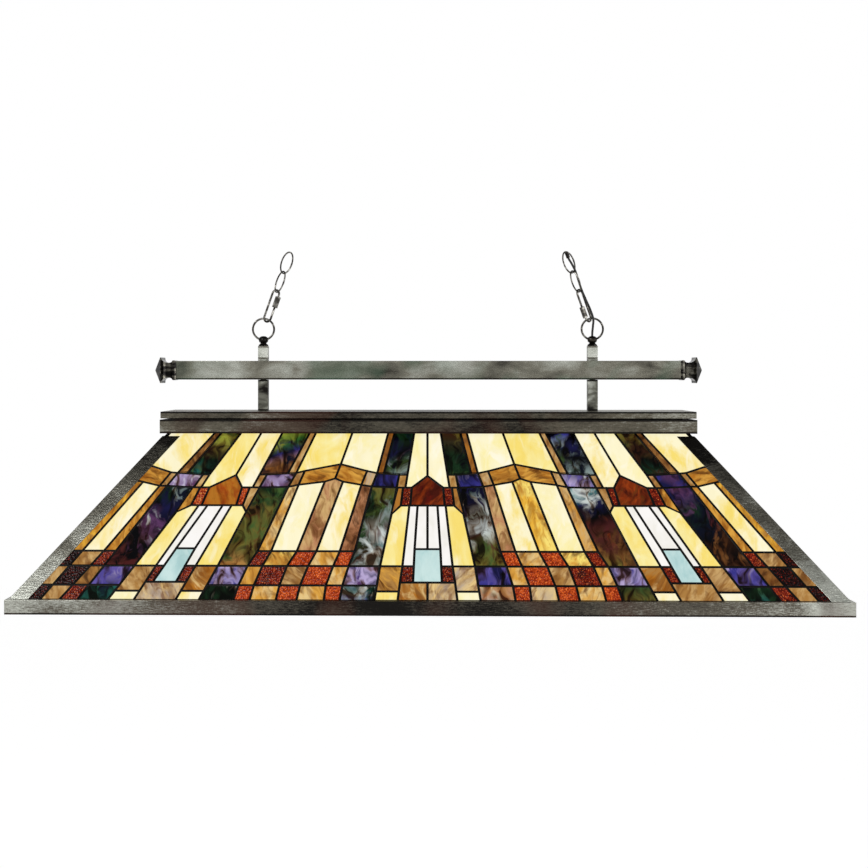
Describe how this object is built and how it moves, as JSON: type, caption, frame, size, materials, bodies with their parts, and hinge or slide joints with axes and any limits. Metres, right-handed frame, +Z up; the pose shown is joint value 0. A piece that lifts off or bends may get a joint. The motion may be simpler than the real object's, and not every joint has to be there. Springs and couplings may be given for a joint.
{
  "type": "billiard table light",
  "caption": "Long four-sided leaded stained-glass light for a billiard table, bronze rim and ridge, square crossbar on posts, hung by rings, quick links and chain.",
  "frame": {"origin": "centre of the rim's footprint, at the rim's lower edge", "axes": "+X along the light's length to the right as seen from the front, +Y to the back, +Z up"},
  "size_m": [1.2192, 0.508, 0.5439],
  "materials": {
    "aged_bronze": "mottled dark bronze with a hammered texture",
    "leaded_glass": "opalescent art glass in dark lead came",
    "plated_steel": "plated",
    "phenolic": "moulded",
    "bulb_brass": "satin",
    "bulb_glass": "frosted",
    "cord_cover": "fabric-covered lamp cord"
  },
  "bodies": {
    "root": {"rim_front": "aged_bronze", "rim_back": "aged_bronze", "rim_left": "aged_bronze", "rim_right": "aged_bronze", "hip_angle_front_left": "aged_bronze", "hip_angle_front_right": "aged_bronze", "hip_angle_back_left": "aged_bronze", "hip_angle_back_right": "aged_bronze", "ridge_collar": "aged_bronze", "ridge_spacer": "aged_bronze", "ridge_cap": "aged_bronze", "post_left": "aged_bronze", "post_right": "aged_bronze", "crossbar": "aged_bronze", "finial_left": "aged_bronze", "finial_right": "aged_bronze", "stub_left": "aged_bronze", "stub_right": "aged_bronze", "stub_washer_left": "aged_bronze", "stub_washer_right": "aged_bronze", "ball_loop_left": "aged_bronze", "ball_loop_right": "aged_bronze", "glass_front": "leaded_glass", "glass_back": "leaded_glass", "glass_left": "leaded_glass", "glass_right": "leaded_glass", "threaded_pipe_left": "plated_steel", "threaded_pipe_right": "plated_steel", "pipe_nut_left": "plated_steel", "pipe_nut_right": "plated_steel", "socket_bar": "plated_steel", "socket_cup_1": "plated_steel", "socket_cup_2": "plated_steel", "socket_cup_3": "plated_steel", "socket_core_1": "phenolic", "socket_core_2": "phenolic", "socket_core_3": "phenolic", "splice_cap": "phenolic", "supply_cord": "cord_cover", "harness_wire_1": "cord_cover", "harness_wire_2": "cord_cover", "harness_wire_3": "cord_cover"},
    "ring_left": {"ring_left": "aged_bronze"},
    "quick_link_left": {"quick_link_left": "aged_bronze"},
    "link_nut_left": {"link_nut_left": "aged_bronze"},
    "chain_left_1": {"chain_link_left_1": "aged_bronze"},
    "chain_left_2": {"chain_link_left_2": "aged_bronze"},
    "ring_right": {"ring_right": "aged_bronze"},
    "quick_link_right": {"quick_link_right": "aged_bronze"},
    "link_nut_right": {"link_nut_right": "aged_bronze"},
    "chain_right_1": {"chain_link_right_1": "aged_bronze"},
    "chain_right_2": {"chain_link_right_2": "aged_bronze", "cord_end_cap": "plated_steel"},
    "bulb_1": {"bulb_base_1": "bulb_brass", "bulb_glass_1": "bulb_glass"},
    "bulb_2": {"bulb_base_2": "bulb_brass", "bulb_glass_2": "bulb_glass"},
    "bulb_3": {"bulb_base_3": "bulb_brass", "bulb_glass_3": "bulb_glass"}
  },
  "joints": [
    {"name": "ring_swing_left", "type": "hinge", "parent": "root", "child": "ring_left", "pos_m": [-0.2643, 0, 0.4016], "axis": [1, 0, 0], "range_deg": [-80, 80]},
    {"name": "quick_link_swing_left", "type": "hinge", "parent": "ring_left", "child": "quick_link_left", "pos_m": [-0.2643, 0, 0.4187], "axis": [0, 1, 0], "range_deg": [-75, 45]},
    {"name": "link_nut_slide_left", "type": "slide", "parent": "quick_link_left", "child": "link_nut_left", "axis": [-0.3305, 0, -0.9438], "range_m": [0, 0.009]},
    {"name": "chain_swing_left_1", "type": "hinge", "parent": "quick_link_left", "child": "chain_left_1", "pos_m": [-0.24229, 0, 0.48156], "axis": [0.6067, 0.766, -0.2125], "range_deg": [-70, 70]},
    {"name": "chain_swing_left_2", "type": "hinge", "parent": "chain_left_1", "child": "chain_left_2", "pos_m": [-0.2317, 0, 0.51181], "axis": [0.6556, -0.7193, -0.2296], "range_deg": [-70, 70]},
    {"name": "ring_swing_right", "type": "hinge", "parent": "root", "child": "ring_right", "pos_m": [0.2643, 0, 0.4016], "axis": [1, 0, 0], "range_deg": [-80, 80], "deforming": ["supply_cord"]},
    {"name": "quick_link_swing_right", "type": "hinge", "parent": "ring_right", "child": "quick_link_right", "pos_m": [0.2643, 0, 0.4187], "axis": [0, -1, 0], "range_deg": [-75, 45], "deforming": ["supply_cord"]},
    {"name": "link_nut_slide_right", "type": "slide", "parent": "quick_link_right", "child": "link_nut_right", "axis": [-0.3305, 0, 0.9438], "range_m": [0, 0.009]},
    {"name": "chain_swing_right_1", "type": "hinge", "parent": "quick_link_right", "child": "chain_right_1", "pos_m": [0.24229, 0, 0.48156], "axis": [0.6067, 0.766, 0.2125], "range_deg": [-70, 70], "deforming": ["supply_cord"]},
    {"name": "chain_swing_right_2", "type": "hinge", "parent": "chain_right_1", "child": "chain_right_2", "pos_m": [0.2317, 0, 0.51181], "axis": [0.5001, -0.848, 0.1751], "range_deg": [-70, 70], "deforming": ["supply_cord"]},
    {"name": "bulb_1_removal", "type": "slide", "parent": "root", "child": "bulb_1", "axis": [0, 0, -1], "range_m": [0, 0.03]},
    {"name": "bulb_2_removal", "type": "slide", "parent": "root", "child": "bulb_2", "axis": [0, 0, -1], "range_m": [0, 0.03]},
    {"name": "bulb_3_removal", "type": "slide", "parent": "root", "child": "bulb_3", "axis": [0, 0, -1], "range_m": [0, 0.03]}
  ]
}
